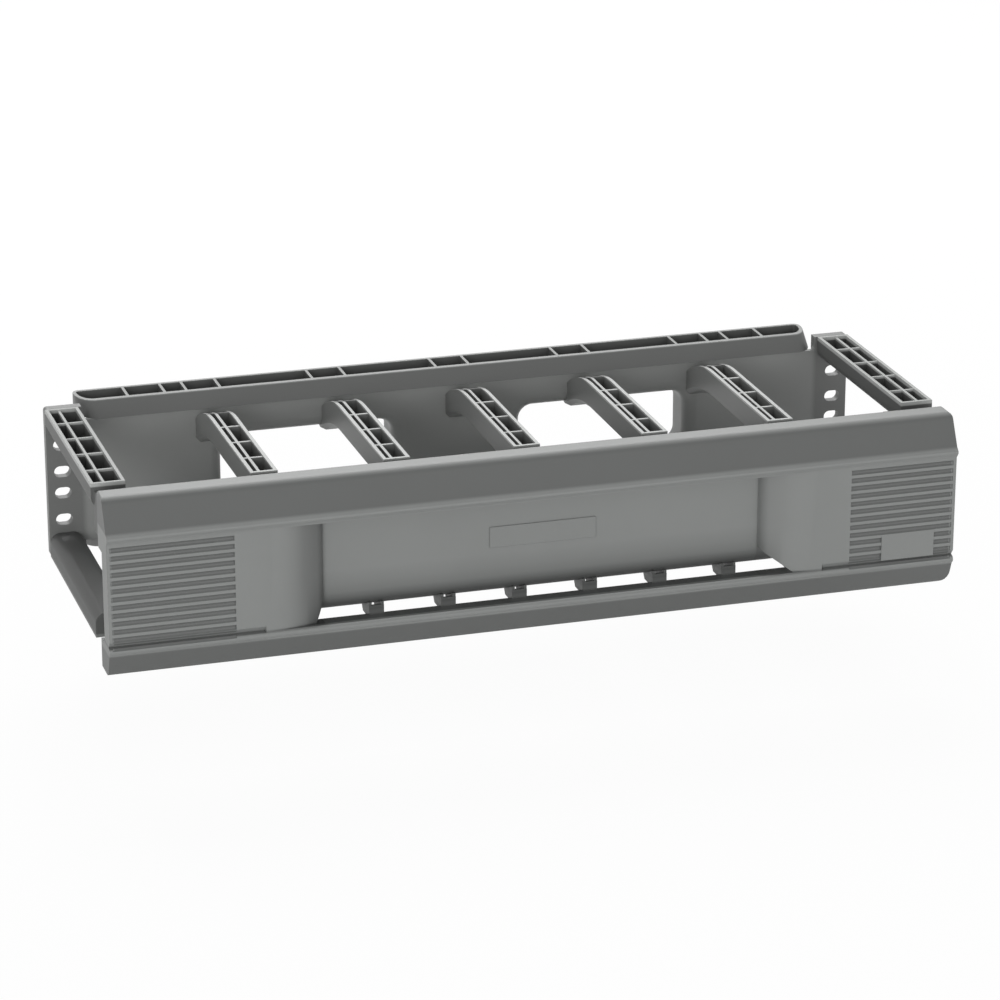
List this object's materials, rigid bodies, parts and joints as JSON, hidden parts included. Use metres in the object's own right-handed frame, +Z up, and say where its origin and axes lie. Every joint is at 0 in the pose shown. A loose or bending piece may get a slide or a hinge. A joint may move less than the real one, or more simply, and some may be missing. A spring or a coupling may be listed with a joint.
{
  "type": "horizontal cable manager",
  "caption": "Horizontal cable manager for a rack: slotted panel with windows, ribbed arms above and below a channel, and a hinged front cover.",
  "frame": {"origin": "centre of the rack slot pattern, on the front face of the ears", "axes": "+X to the right along the rack's width, +Y into the rack, +Z up; the cover faces -Y"},
  "size_m": [0.4826, 0.1972, 0.0998],
  "materials": {
    "frame_plastic": "satin mid-grey moulded plastic",
    "cover_plastic": "satin mid-grey moulded plastic",
    "label_plastic": "satin mid-grey moulded plastic",
    "pin_steel": "plain drawn pin"
  },
  "bodies": {
    "frame": {"back_panel": "frame_plastic", "top_rail": "frame_plastic", "bottom_rail": "frame_plastic", "left_upper_arm": "frame_plastic", "right_upper_arm": "frame_plastic", "left_lower_arm": "frame_plastic", "right_lower_arm": "frame_plastic", "upper_arm_1": "frame_plastic", "upper_arm_2": "frame_plastic", "upper_arm_3": "frame_plastic", "upper_arm_4": "frame_plastic", "upper_arm_5": "frame_plastic", "lower_arm_1": "frame_plastic", "lower_arm_2": "frame_plastic", "lower_arm_3": "frame_plastic", "lower_arm_4": "frame_plastic", "lower_arm_5": "frame_plastic", "left_hinge_pin": "pin_steel", "right_hinge_pin": "pin_steel"},
    "cover": {"front_cover": "cover_plastic", "label_plate": "label_plastic"}
  },
  "joints": [
    {"name": "cover_hinge", "type": "hinge", "parent": "frame", "child": "cover", "pos_m": [0, -0.1485, 0.0375], "axis": [-1, 0, 0], "range_deg": [0, 110]}
  ]
}
